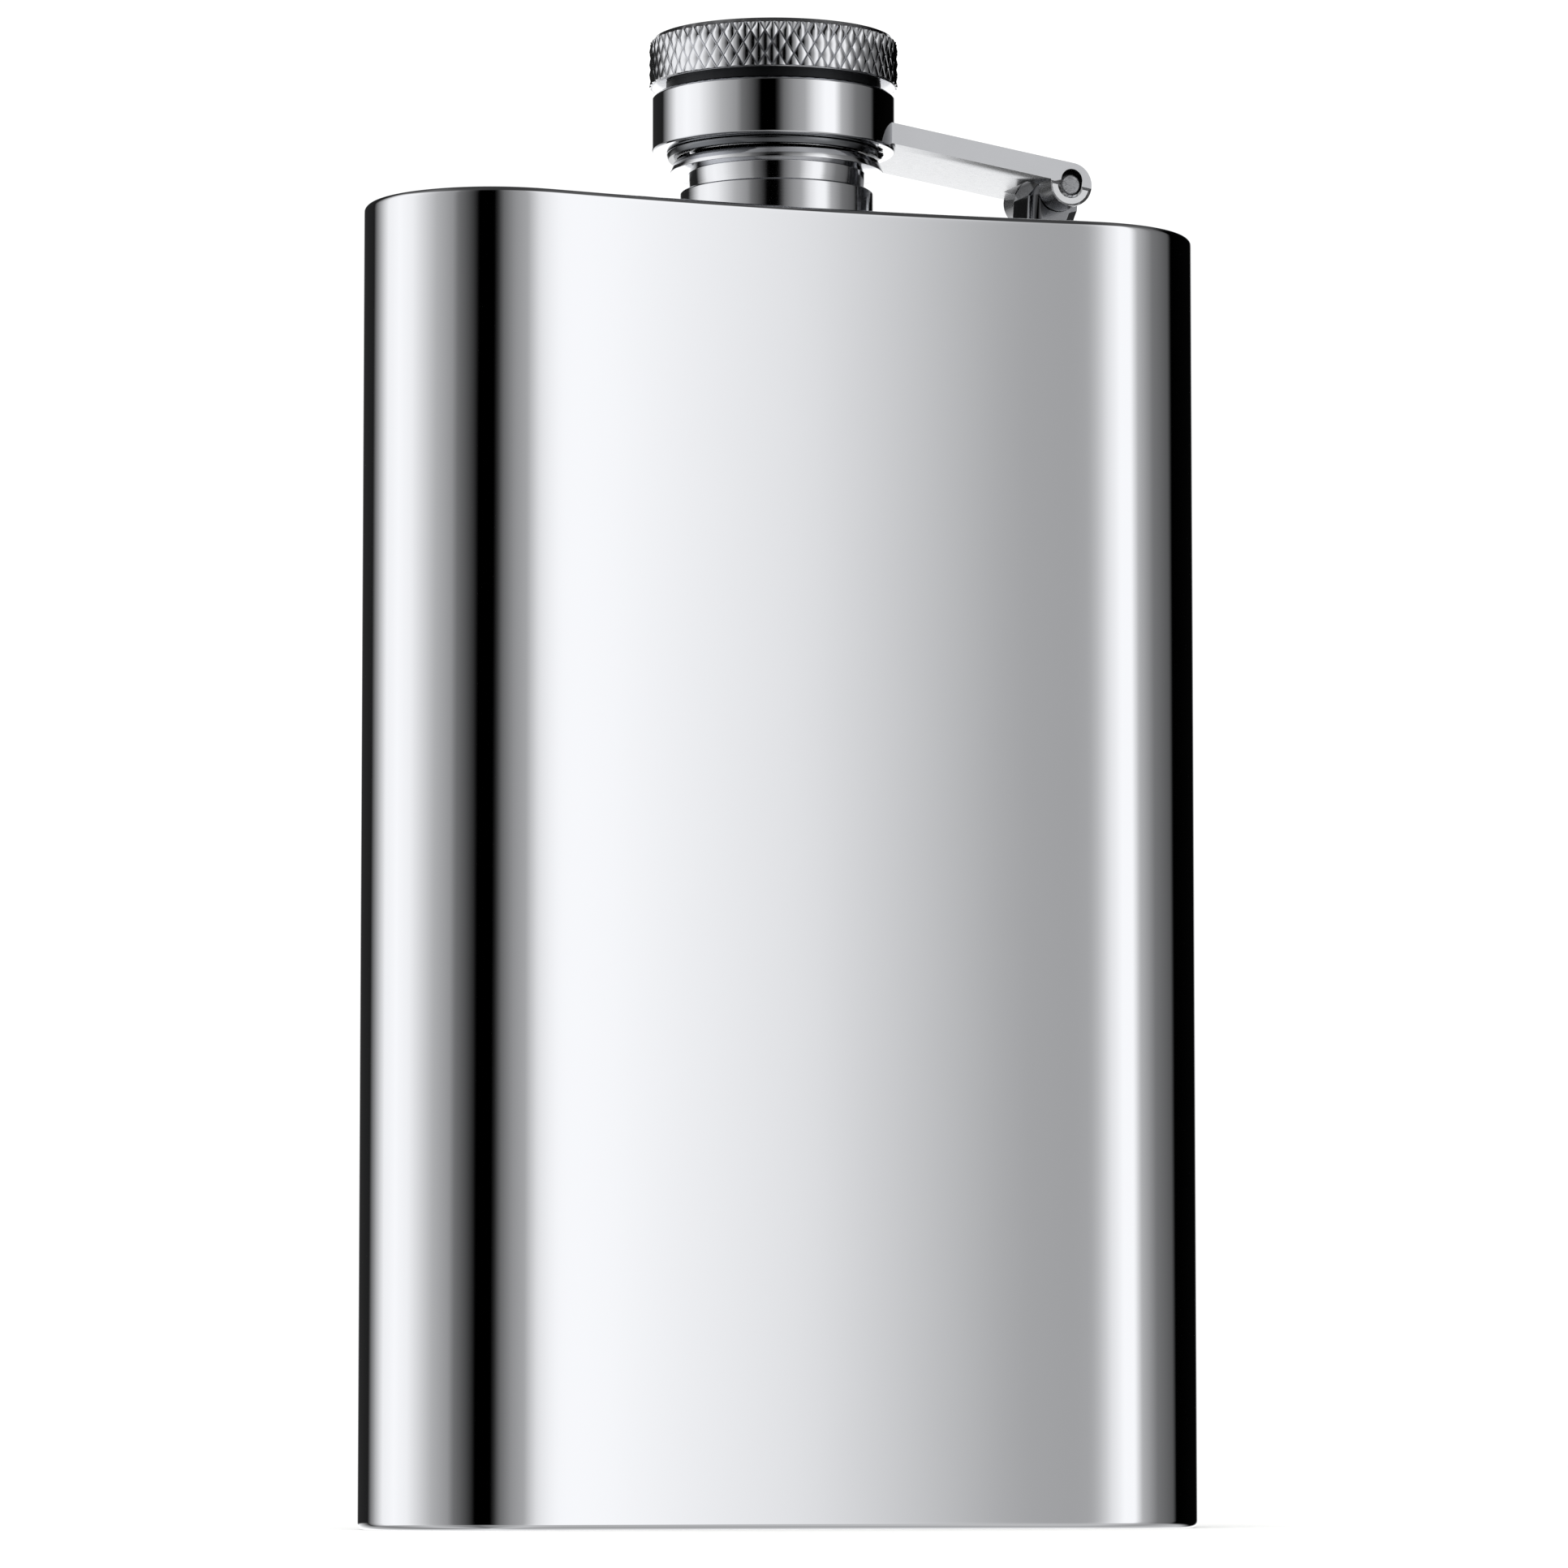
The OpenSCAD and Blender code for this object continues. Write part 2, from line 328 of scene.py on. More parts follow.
wall_bm = bmesh.new()
wall_ring = body_outline(wall_bm, wall_lo.z)
for rise in (RIM_MARGIN, wall_hi.z - wall_lo.z - 2 * RIM_MARGIN, RIM_MARGIN):
    wall_ring = raise_edges(wall_bm, wall_ring, (0, 0, rise))
bmesh.ops.recalc_face_normals(wall_bm, faces=wall_bm.faces)
bmesh.ops.solidify(wall_bm, geom=wall_bm.faces[:], thickness=WALL_THICKNESS)
smooth(wall_bm)
wall = piece("body_shell", wall_bm, mirror_steel, "flask", "body_wall")
keep_flats_flat(wall)


# ---------------------------------------------------------------- base and shoulder plates
# Two plates of the same steel, welded round the ends of the wall. The welds are ground flush
# and polished away, which leaves a small even radius round each edge.
EDGE_RADIUS = 0.6 * MM
EDGE_SEGMENTS = 8
FLAT_MARGIN = 0.3 * MM
HOLE_MARGIN = 1 * MM
HOLE_SEGMENTS = 96
NECK_HOLE_R = 7.75 * MM


def end_plate(seam_z, face_z, hole_r=0):
    """A plate from the weld seam to its outer face, with the outer edge rounded."""
    bm = bmesh.new()
    rim = body_outline(bm, seam_z)
    if hole_r:
        bmesh.ops.create_circle(bm, segments=HOLE_SEGMENTS, radius=hole_r,
                                matrix=Matrix.Translation((0, 0, seam_z)))
        rim = list(bm.edges)
    region = bmesh.ops.triangle_fill(bm, edges=rim, use_beauty=True)["geom"]
    faces = [f for f in region if isinstance(f, bmesh.types.BMFace)]
    made = bmesh.ops.extrude_face_region(bm, geom=faces)["geom"]
    bmesh.ops.translate(bm, verts=[v for v in made if isinstance(v, bmesh.types.BMVert)],
                        vec=(0, 0, face_z - seam_z))
    corner = [e for e in bm.edges
              if all(abs(v.co.z - face_z) < JOIN for v in e.verts)
              and len(e.link_faces) == 2 and e.calc_face_angle() > SHARP_ANGLE
              and e.verts[0].co.xy.length > hole_r + HOLE_MARGIN]
    bmesh.ops.bevel(bm, geom=corner, offset=EDGE_RADIUS, segments=EDGE_SEGMENTS, profile=0.5,
                    affect="EDGES", material=-1)
    flat = [f for f in bm.faces
            if all(abs(v.co.z - face_z) < SAME for v in f.verts)]
    bmesh.ops.inset_region(bm, faces=flat, thickness=FLAT_MARGIN, use_boundary=True,
                           use_even_offset=True)
    smooth(bm)
    return bm


base_lo, base_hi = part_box("base_plate")
base = piece("base", end_plate(base_hi.z, base_lo.z), mirror_steel, "flask",
             "base_plate")
keep_flats_flat(base)

shoulder_lo, shoulder_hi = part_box("shoulder_plate")
shoulder = piece("shoulder", end_plate(shoulder_lo.z, shoulder_hi.z, NECK_HOLE_R), mirror_steel,
                 "flask", "shoulder_plate")
keep_flats_flat(shoulder)
top_z = shoulder_hi.z


# ---------------------------------------------------------------- neck
# Turned from stainless bar and brazed into the shoulder: a collar, an undercut, a sharp stop
# lip and a thread of two turns. The tool has left fine rings, which show most in the undercut.
RING_SPACING = 0.16 * MM
TURN_SEGMENTS = 192
CORNER = 0.07 * MM
CORNER_SEGMENTS = 3
NECK_BORE_R = 5.9 * MM
SPIGOT_FOOT = -0.9 * MM
BASE_COLLAR_R = 8.55 * MM
BASE_COLLAR_TOP = 3.05 * MM
BASE_COLLAR_CHAMFER = 0.15 * MM
LIP_R = 9.45 * MM
LIP_TOP_R = 9.10 * MM
LIP_FOOT = 4.75 * MM
LIP_TOP = 5.70 * MM
NECK_TOP = 9.9 * MM
NECK_CHAMFER = 0.3 * MM
PITCH = 1.4 * MM
THREAD_FOOT = 6.15 * MM
THREAD_TURNS = 2.2
THREAD_ROOT_R = 7.2 * MM
THREAD_CREST_R = 7.7 * MM
THREAD_BURIED = 0.1 * MM
THREAD_STEPS = 96
THREAD_FADE_STEPS = 16
THREAD_FADE_DEPTH = 0.98
FLANK_FOOT = 0.30 * PITCH
FLANK_CREST = 0.11 * PITCH
BROKEN_EDGE_ANGLE = math.radians(25)


def turned_finish(name, colour, roughness, ring_depth, centre_x=0):
    """Turned stainless steel: bright, with fine rings left by the tool."""
    material, tree, shader = new_material(name)
    shader.inputs["Base Color"].default_value = linear(colour)
    shader.inputs["Metallic"].default_value = 1
    shader.inputs["Roughness"].default_value = roughness
    place = add(tree, "TexCoord").outputs["Object"]
    centred = add(tree, "Mapping", {"Vector": place, "Location": (-centre_x, 0, 0)})
    axes = add(tree, "SeparateXYZ", {0: centred.outputs[0]})
    flat = add(tree, "CombineXYZ", {0: axes.outputs[0], 1: axes.outputs[1]})
    radius = add(tree, "VectorMath", {0: flat.outputs[0]}, operation="LENGTH")
    along = add(tree, "Math", {0: radius.outputs["Value"], 1: axes.outputs[2]}, operation="ADD")
    rings = add(tree, "TexNoise", {"W": along.outputs[0], "Scale": 1 / RING_SPACING, "Detail": 2},
                noise_dimensions="1D")
    bump = add(tree, "Bump", {"Height": rings.outputs[0], "Distance": ring_depth})
    tree.links.new(bump.outputs[0], shader.inputs["Normal"])
    return material


def turn(points, centre_x=0, closed=True, corner=0):
    """Turns a section about an upright axis, with its corners rounded off.

    Each point is a radius and a height over the shoulder plate.
    """
    bm = bmesh.new()
    verts = [bm.verts.new((centre_x + r, 0, top_z + z)) for r, z in points]
    pairs = list(zip(verts, verts[1:]))
    if closed:
        pairs.append((verts[-1], verts[0]))
    for pair in pairs:
        bm.edges.new(pair)
    if corner:
        bmesh.ops.bevel(bm, geom=[v for v in verts if len(v.link_edges) == 2], offset=corner,
                        segments=CORNER_SEGMENTS, profile=0.5, affect="VERTICES", material=-1)
    bmesh.ops.spin(bm, geom=bm.verts[:] + bm.edges[:], cent=(centre_x, 0, 0), axis=(0, 0, 1),
                   angle=2 * math.pi, steps=TURN_SEGMENTS, use_merge=True)
    bmesh.ops.remove_doubles(bm, verts=bm.verts, dist=SAME)
    return bm


def break_edges(bm, width):
    """Takes the edge off every sharp corner, as a file or a buff does."""
    sharp = [e for e in bm.edges
             if len(e.link_faces) == 2 and e.calc_face_angle() > BROKEN_EDGE_ANGLE]
    bmesh.ops.bevel(bm, geom=sharp, offset=width, segments=CORNER_SEGMENTS, profile=0.5,
                    affect="EDGES", clamp_overlap=True, material=-1)


def thread(bm, root_r, crest_r, foot_z, turns, centre_x=0):
    """Adds a ridge that climbs round the axis and fades out at both ends."""
    section = [(root_r, -FLANK_FOOT), (crest_r, -FLANK_CREST),
               (crest_r, FLANK_CREST), (root_r, FLANK_FOOT)]
    first = len(bm.verts)
    verts = [bm.verts.new((centre_x + r, 0, foot_z + z)) for r, z in section]
    edges = [bm.edges.new((verts[i], verts[(i + 1) % 4])) for i in range(4)]
    bmesh.ops.contextual_create(bm, geom=edges)
    steps = round(THREAD_STEPS * turns)
    made = bmesh.ops.spin(bm, geom=verts + edges, cent=(centre_x, 0, 0), axis=(0, 0, 1),
                          dvec=(0, 0, PITCH / THREAD_STEPS), angle=2 * math.pi * turns,
                          steps=steps)
    last = [e for e in made["geom_last"] if isinstance(e, bmesh.types.BMEdge)]
    bmesh.ops.contextual_create(bm, geom=last)
    bm.verts.ensure_lookup_table()
    ridge = bm.verts[first:]
    for number, vert in enumerate(ridge):
        step = number // 4
        share = min(1, step / THREAD_FADE_STEPS, (steps - step) / THREAD_FADE_STEPS)
        if number % 4 in (1, 2):
            out = Vector((vert.co.x - centre_x, vert.co.y, 0))
            vert.co -= out.normalized() * (1 - share) * (crest_r - root_r) * THREAD_FADE_DEPTH


turned_steel = turned_finish("turned_stainless_steel", colour="D6D7DA", roughness=0.09,
                             ring_depth=0.006 * MM)

neck_bm = turn([
    (NECK_BORE_R, SPIGOT_FOOT), (NECK_HOLE_R, SPIGOT_FOOT), (NECK_HOLE_R, 0), (BASE_COLLAR_R, 0),
    (BASE_COLLAR_R, BASE_COLLAR_TOP - BASE_COLLAR_CHAMFER),
    (BASE_COLLAR_R - BASE_COLLAR_CHAMFER, BASE_COLLAR_TOP), (NECK_HOLE_R, BASE_COLLAR_TOP),
    (NECK_HOLE_R, LIP_FOOT), (LIP_R, LIP_FOOT), (LIP_TOP_R, LIP_TOP), (THREAD_ROOT_R, LIP_TOP),
    (THREAD_ROOT_R, NECK_TOP - NECK_CHAMFER), (THREAD_ROOT_R - NECK_CHAMFER, NECK_TOP),
    (NECK_BORE_R + NECK_CHAMFER, NECK_TOP), (NECK_BORE_R, NECK_TOP - NECK_CHAMFER),
], corner=CORNER)
thread(neck_bm, THREAD_ROOT_R - THREAD_BURIED, THREAD_CREST_R, top_z + THREAD_FOOT, THREAD_TURNS)
smooth(neck_bm)
neck = piece("neck", neck_bm, turned_steel, "flask", "neck_spout")
keep_flats_flat(neck)


# ---------------------------------------------------------------- captive collar
# A plain polished sleeve that the knob turns in. The hinged arm is fixed to its side, so it
# stays on the flask when the cap is off.
SLEEVE_BORE_R = 9.0 * MM
SLEEVE_R = 10.75 * MM
SLEEVE_FOOT = 6.6 * MM
SLEEVE_TOP = 11.65 * MM
SLEEVE_FOOT_CHAMFER = 0.15 * MM
SLEEVE_TOP_CHAMFER = 0.3 * MM

collar_lo, collar_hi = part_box("captive_collar")
cap_x = (collar_lo.x + collar_hi.x) / 2

collar_bm = turn([
    (SLEEVE_BORE_R, SLEEVE_FOOT), (SLEEVE_R - SLEEVE_FOOT_CHAMFER, SLEEVE_FOOT),
    (SLEEVE_R, SLEEVE_FOOT + SLEEVE_FOOT_CHAMFER), (SLEEVE_R, SLEEVE_TOP - SLEEVE_TOP_CHAMFER),
    (SLEEVE_R - SLEEVE_TOP_CHAMFER, SLEEVE_TOP), (SLEEVE_BORE_R, SLEEVE_TOP),
], cap_x, corner=CORNER)
smooth(collar_bm)
collar = piece("collar", collar_bm, mirror_steel, "arm", "captive_collar")
keep_flats_flat(collar)


# ---------------------------------------------------------------- threaded insert
# A turned cup pressed into the knob. It carries the inner thread, and the flange at its foot
# holds the collar on.
INSERT_R = 8.92 * MM
INSERT_TOP = 12.9 * MM
INSERT_ROOF = 11.0 * MM
INSERT_FOOT = 6.0 * MM
INSERT_CORNER = 0.04 * MM
FLANGE_R = 9.44 * MM
FLANGE_FOOT_R = 9.29 * MM
FLANGE_TOP = 6.54 * MM
FLANGE_TAPER_TOP = 6.39 * MM
INSERT_CREST_R = 8.2 * MM
INSERT_ROOT_R = 8.55 * MM
INSERT_THREAD_FOOT = 6.9 * MM
INSERT_THREAD_TURNS = 1.6
INSERT_THREAD_BURIED = 0.05 * MM

# The insert's steel is the neck's turned finish painted much darker: painted shade for the
# shadowed gap under the collar, where its flange shows.
insert_steel_with_painted_shade = turned_finish("cap_insert_steel_with_painted_shade", colour="77797C",
                                 roughness=0.16, ring_depth=0.003 * MM, centre_x=cap_x)

insert_bm = turn([
    (0, INSERT_ROOF), (INSERT_ROOT_R, INSERT_ROOF), (INSERT_ROOT_R, INSERT_FOOT),
    (FLANGE_FOOT_R, INSERT_FOOT), (FLANGE_R, FLANGE_TAPER_TOP), (FLANGE_R, FLANGE_TOP),
    (INSERT_R, FLANGE_TOP), (INSERT_R, INSERT_TOP), (0, INSERT_TOP),
], cap_x, closed=False, corner=INSERT_CORNER)
thread(insert_bm, INSERT_ROOT_R + INSERT_THREAD_BURIED, INSERT_CREST_R,
       top_z + INSERT_THREAD_FOOT, INSERT_THREAD_TURNS, cap_x)
smooth(insert_bm)
insert = piece("insert", insert_bm, insert_steel_with_painted_shade, "knob", "threaded_insert")
keep_flats_flat(insert)


# ---------------------------------------------------------------- liner
# A soft washer of natural polyethylene, punched from sheet and pushed into the top of the
# insert. It seals on the rim of the neck, which has left a shallow ring in it.
LINER_R = 8.5 * MM
LINER_FOOT = 10.0 * MM
LINER_CHAMFER = 0.05 * MM
LINER_GRAIN = 0.4 * MM
LINER_GRAIN_DEPTH = 0.01 * MM
LINER_GLOW_DEPTH = 1 * MM
DENT_OUTER_R = 7.3 * MM
DENT_INNER_R = 5.8 * MM
DENT_SLOPE = 0.2 * MM
DENT_DEPTH = 0.06 * MM

polythene, liner_tree, liner_shader = new_material("natural_polyethylene")
liner_shader.inputs["Base Color"].default_value = linear("E8E6DC")
liner_shader.inputs["Roughness"].default_value = 0.42
liner_shader.inputs["IOR"].default_value = 1.51
liner_shader.inputs["Subsurface Weight"].default_value = 0.25
liner_shader.inputs["Subsurface Scale"].default_value = LINER_GLOW_DEPTH
liner_place = add(liner_tree, "TexCoord").outputs["Object"]
liner_grain = add(liner_tree, "TexNoise", {"Vector": liner_place, "Scale": 1 / LINER_GRAIN,
                                           "Detail": 3})
liner_bump = add(liner_tree, "Bump", {"Height": liner_grain.outputs[0],
                                      "Distance": LINER_GRAIN_DEPTH})
liner_tree.links.new(liner_bump.outputs[0], liner_shader.inputs["Normal"])

liner_bm = turn([
    (0, INSERT_ROOF), (LINER_R - LINER_CHAMFER, INSERT_ROOF),
    (LINER_R, INSERT_ROOF - LINER_CHAMFER), (LINER_R, LINER_FOOT + LINER_CHAMFER),
    (LINER_R - LINER_CHAMFER, LINER_FOOT), (DENT_OUTER_R, LINER_FOOT),
    (DENT_OUTER_R - DENT_SLOPE, LINER_FOOT + DENT_DEPTH),
    (DENT_INNER_R + DENT_SLOPE, LINER_FOOT + DENT_DEPTH), (DENT_INNER_R, LINER_FOOT),
    (0, LINER_FOOT),
], cap_x, closed=False)
smooth(liner_bm)
liner = piece("liner", liner_bm, polythene, "knob", "cap_liner")
keep_flats_flat(liner)


# ---------------------------------------------------------------- knurled knob
# The head of the cap, turned from bar, with a diamond knurl rolled into its rim. Two sets of
# grooves cross and leave a belt of crowned diamonds. A narrow hub keeps it off the collar.
DIAMONDS = 54
DIAMOND_HEIGHT = 2.05 * MM
HALF_ROWS = 6
CROWN = 0.19 * MM
GROOVE_DEPTH = 0.16 * MM
GROOVE_HALF_WIDTH = 0.08 * MM
BAND_FOOT = 12.40 * MM
BAND_EDGE_R = 10.80 * MM
BAND_EDGE_H = 0.05 * MM
KNOB_CHAMFER_R = 10.58 * MM
KNOB_CHAMFER = 0.42 * MM
FOOT_CHAMFER = 0.14 * MM
FOOT_R = 10.72 * MM
HUB_R = 9.5 * MM
HUB_FOOT = 11.71 * MM
SAME_LEVEL = 0.005 * MM
SAME_KNURL = 0.0005 * MM

knob_lo, knob_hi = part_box("knurled_knob")
knob_r = (knob_hi.x - knob_lo.x) / 2
band_lo = top_z + BAND_FOOT


def outwards(vert):
    """The level direction from the axis of the cap to a vertex."""
    return Vector((vert.co.x - cap_x, vert.co.y, 0)).normalized()


def ring_to(bm, edges, radius, z):
    """Extrudes a loop and lays the new one on a circle. Returns its edges."""
    made = bmesh.ops.extrude_edge_only(bm, edges=edges)["geom"]
    for vert in (v for v in made if isinstance(v, bmesh.types.BMVert)):
        out = outwards(vert) * radius
        vert.co = (cap_x + out.x, out.y, z)
    return [e for e in made if isinstance(e, bmesh.types.BMEdge)]


def open_edges(bm, z):
    """The open edges at one height."""
    return [e for e in bm.edges
            if e.is_boundary and all(abs(v.co.z - z) < SAME_LEVEL for v in e.verts)]


knob_bm = bmesh.new()
row_height = DIAMOND_HEIGHT / 2
knurl_foot = (band_lo + knob_hi.z) / 2 - HALF_ROWS / 2 * row_height
belt = [knob_bm.verts.new((cap_x + knob_r - CROWN, 0, knurl_foot + row * row_height))
        for row in range(HALF_ROWS + 1)]
belt_edges = [knob_bm.edges.new(pair) for pair in zip(belt, belt[1:])]
bmesh.ops.spin(knob_bm, geom=belt + belt_edges, cent=(cap_x, 0, 0), axis=(0, 0, 1),
               angle=2 * math.pi, steps=2 * DIAMONDS, use_merge=True)
bmesh.ops.recalc_face_normals(knob_bm, faces=knob_bm.faces)
middles = []
for vert in knob_bm.verts:
    column = round(math.atan2(vert.co.y, vert.co.x - cap_x) / math.pi * DIAMONDS)
    row = round((vert.co.z - knurl_foot) / row_height)
    vert.tag = (column + row) % 2 == 0
    if not vert.tag:
        middles.append(vert)
for face in list(knob_bm.faces):
    bmesh.ops.connect_verts(knob_bm, verts=[v for v in face.verts if v.tag])
bmesh.ops.dissolve_verts(knob_bm, verts=middles)
grooves = list(knob_bm.verts)
bmesh.ops.inset_individual(knob_bm, faces=knob_bm.faces[:], thickness=GROOVE_HALF_WIDTH,
                           use_even_offset=True)
on_groove = set(grooves)
pads = [f for f in knob_bm.faces if not on_groove.intersection(f.verts)]
for vert in grooves:
    vert.co -= outwards(vert) * GROOVE_DEPTH
pad_rims = {e for f in pads for e in f.edges}
tips = bmesh.ops.poke(knob_bm, faces=pads)["verts"]
for vert in tips:
    out = outwards(vert) * knob_r
    vert.co = (cap_x + out.x, out.y, vert.co.z)

for z, normal in ((band_lo + FOOT_CHAMFER, (0, 0, -1)), (knob_hi.z - KNOB_CHAMFER, (0, 0, 1))):
    bmesh.ops.bisect_plane(knob_bm, geom=knob_bm.verts[:] + knob_bm.edges[:] + knob_bm.faces[:],
                           plane_co=(0, 0, z), plane_no=normal, clear_outer=True)
crest = open_edges(knob_bm, knob_hi.z - KNOB_CHAMFER)
foot = open_edges(knob_bm, band_lo + FOOT_CHAMFER)
turned_off = crest + foot
crest = ring_to(knob_bm, crest, BAND_EDGE_R, knob_hi.z - KNOB_CHAMFER + BAND_EDGE_H)
crest = ring_to(knob_bm, crest, KNOB_CHAMFER_R, knob_hi.z)
corners = list(crest)
crest = ring_to(knob_bm, crest, KNOB_CHAMFER_R / 2, knob_hi.z)
ring_to(knob_bm, crest, 0, knob_hi.z)
foot = ring_to(knob_bm, foot, BAND_EDGE_R, band_lo + FOOT_CHAMFER - BAND_EDGE_H)
foot = ring_to(knob_bm, foot, FOOT_R, band_lo)
corners += foot
foot = ring_to(knob_bm, foot, HUB_R, band_lo)
before_hub = set(knob_bm.faces)
foot = ring_to(knob_bm, foot, HUB_R, top_z + HUB_FOOT)
corners += foot
foot = ring_to(knob_bm, foot, INSERT_R, top_z + HUB_FOOT)
hub = set(knob_bm.faces) - before_hub
foot = ring_to(knob_bm, foot, INSERT_R, top_z + INSERT_TOP)
ring_to(knob_bm, foot, 0, top_z + INSERT_TOP)
# The hub's faces take the second material, which carries painted shade.
for face in hub:
    face.material_index = 1
bmesh.ops.remove_doubles(knob_bm, verts=knob_bm.verts, dist=SAME_KNURL)
smooth(knob_bm)
for edge in list(pad_rims) + turned_off:
    if edge.is_valid:
        edge.smooth = False
bmesh.ops.bevel(knob_bm, geom=[e for e in corners if e.is_valid], offset=CORNER,
                segments=CORNER_SEGMENTS, profile=0.5, affect="EDGES", clamp_overlap=True,
                material=-1)
knurled_steel = polish("knurled_and_polished_stainless_steel", colour="D2D3D6", roughness=0.10,
                       spread=0.06, wave_depth=WAVE_DEPTH)
# The hub's near-black colour is painted shade for the narrow gap between knob and collar, and it
# darkens what mirrors it. The rougher turned finish is real.
hub_steel_with_painted_shade = turned_finish("turned_stainless_steel_with_painted_shade_for_the_hub", colour="303133",
                               roughness=0.42, ring_depth=0.004 * MM, centre_x=cap_x)
knob = piece("knob", knob_bm, knurled_steel, "knob", "knurled_knob")
knob.data.materials.append(hub_steel_with_painted_shade)
keep_flats_flat(knob)


# ---------------------------------------------------------------- hinge pin
# A length of stainless wire, cut and dressed at both ends, that holds the two knuckles of the
# arm on the bracket.
pin_lo, pin_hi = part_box("hinge_pin")
pin_r = (pin_hi.x - pin_lo.x) / 2
pin = Vector(((pin_lo.x + pin_hi.x) / 2, 0, (pin_lo.z + pin_hi.z) / 2))
PIN_SHORT_BY = 0.12 * MM
PIN_CHAMFER = 0.15 * MM
PIN_EDGE = 0.04 * MM
PIN_SEGMENTS = 64
CUT_MARK = 0.5 * MM
CUT_MARK_DEPTH = 0.08 * MM

pin_steel, pin_tree, pin_shader = new_material("cut_stainless_wire")
pin_shader.inputs["Base Color"].default_value = linear("A5A6A9")
pin_shader.inputs["Metallic"].default_value = 1
pin_shader.inputs["Roughness"].default_value = 0.34
pin_place = add(pin_tree, "TexCoord").outputs["Object"]
pin_stretch = add(pin_tree, "Mapping", {"Vector": pin_place, "Scale": (1, 1, 5)})
pin_marks = add(pin_tree, "TexNoise", {"Vector": pin_stretch.outputs[0],
                                       "Scale": 1 / CUT_MARK, "Detail": 3})
pin_bump = add(pin_tree, "Bump", {"Height": pin_marks.outputs[0],
                                  "Distance": CUT_MARK_DEPTH})
pin_tree.links.new(pin_bump.outputs[0], pin_shader.inputs["Normal"])

pin_bm = bmesh.new()
pin_end = pin_hi.y - PIN_SHORT_BY
pin_section = [pin_bm.verts.new((pin.x + r, y, pin.z)) for r, y in (
    (0, -pin_end), (pin_r - PIN_CHAMFER, -pin_end), (pin_r, PIN_CHAMFER - pin_end),
    (pin_r, pin_end - PIN_CHAMFER), (pin_r - PIN_CHAMFER, pin_end), (0, pin_end))]
pin_edges = [pin_bm.edges.new(pair) for pair in zip(pin_section, pin_section[1:])]
bmesh.ops.spin(pin_bm, geom=pin_section + pin_edges, cent=pin, axis=(0, 1, 0),
               angle=2 * math.pi, steps=PIN_SEGMENTS, use_merge=True)
bmesh.ops.remove_doubles(pin_bm, verts=pin_bm.verts, dist=SAME)
break_edges(pin_bm, PIN_EDGE)
smooth(pin_bm)
hinge_pin = piece("pin", pin_bm, pin_steel, "flask", "hinge_pin")
keep_flats_flat(hinge_pin)


# ---------------------------------------------------------------- hinge bracket
# A small block with a round head and a stop shoulder, stamped from bar, lightly buffed and
# brazed to the shoulder plate between the two knuckles of the arm.
bracket_lo, bracket_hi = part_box("hinge_bracket")
BRACKET_R = 1.9 * MM
BRACKET_ROUND = 1.1 * MM
BRACKET_ROUND_SEGMENTS = 6
BROKEN_EDGE = 0.10 * MM
FLAT_AREA = 1 * MM ** 2
FLAT_ANGLE = math.radians(8)
# The head and the hole are arcs that start and end at these angles, in degrees.
HEAD_FIRST = -8.6
HEAD_LAST = 157.6
HEAD_STEPS = 28
HOLE_LAST = 352.5
HOLE_STEPS = 47
# These are shares of the radius of the head, or of the height of the pin over the plate.
FOOT_LEFT = 1.25
FOOT_RIGHT = 0.75
WAIST_LEFT = 1.4
WAIST_RIGHT = 0.9
WAIST_DEPTH = 0.65
STOP_LEFT = 1.34
STOP_DEPTH = 0.25
ROUND_BEYOND = 0.7
ROUND_BELOW = 0.2

foot_depth = pin.z - top_z


def frame_flats(bm):
    """Ends the smooth shading at the rim of each large flat face, which keeps its mirror true."""
    for face in bm.faces:
        if face.calc_area() > FLAT_AREA:
            for edge in face.edges:
                edge.smooth = edge.smooth and edge.calc_face_angle() < FLAT_ANGLE


def arc_points(radius, first, last, steps):
    """Points of an arc round the pin, in the upright plane, from one angle to another."""
    angles = [math.radians(first + (last - first) * i / steps) for i in range(steps + 1)]
    return [(radius * math.cos(a), radius * math.sin(a)) for a in angles]


def upright_face(bm, y, outline, hole):
    """Fills an upright outline that has a hole in it. Both are points measured from the pin."""
    edges = []
    for points in (outline, hole):
        verts = [bm.verts.new((pin.x + x, y, pin.z + z)) for x, z in points]
        edges += [bm.edges.new((verts[i - 1], verts[i])) for i in range(len(verts))]
    made = bmesh.ops.triangle_fill(bm, edges=edges, use_beauty=True)["geom"]
    return [f for f in made if isinstance(f, bmesh.types.BMFace)]


def pull(bm, faces, distance):
    """Extrudes faces along Y. Returns the new faces."""
    made = bmesh.ops.extrude_face_region(bm, geom=faces)["geom"]
    bmesh.ops.translate(bm, verts=[v for v in made if isinstance(v, bmesh.types.BMVert)],
                        vec=(0, distance, 0))
    return [f for f in made if isinstance(f, bmesh.types.BMFace)]


bracket_outline = [(-FOOT_LEFT * BRACKET_R, -foot_depth), (FOOT_RIGHT * BRACKET_R, -foot_depth),
                   (WAIST_RIGHT * BRACKET_R, -WAIST_DEPTH * foot_depth)]
bracket_outline += arc_points(BRACKET_R, HEAD_FIRST, HEAD_LAST, HEAD_STEPS)
bracket_outline += [(-STOP_LEFT * BRACKET_R, -STOP_DEPTH * BRACKET_R),
                    (-WAIST_LEFT * BRACKET_R, -WAIST_DEPTH * foot_depth)]
bracket_bm = bmesh.new()
bracket_side = upright_face(bracket_bm, bracket_lo.y, bracket_outline,
                            arc_points(pin_r, 0, HOLE_LAST, HOLE_STEPS))
pull(bracket_bm, bracket_side, bracket_hi.y - bracket_lo.y)
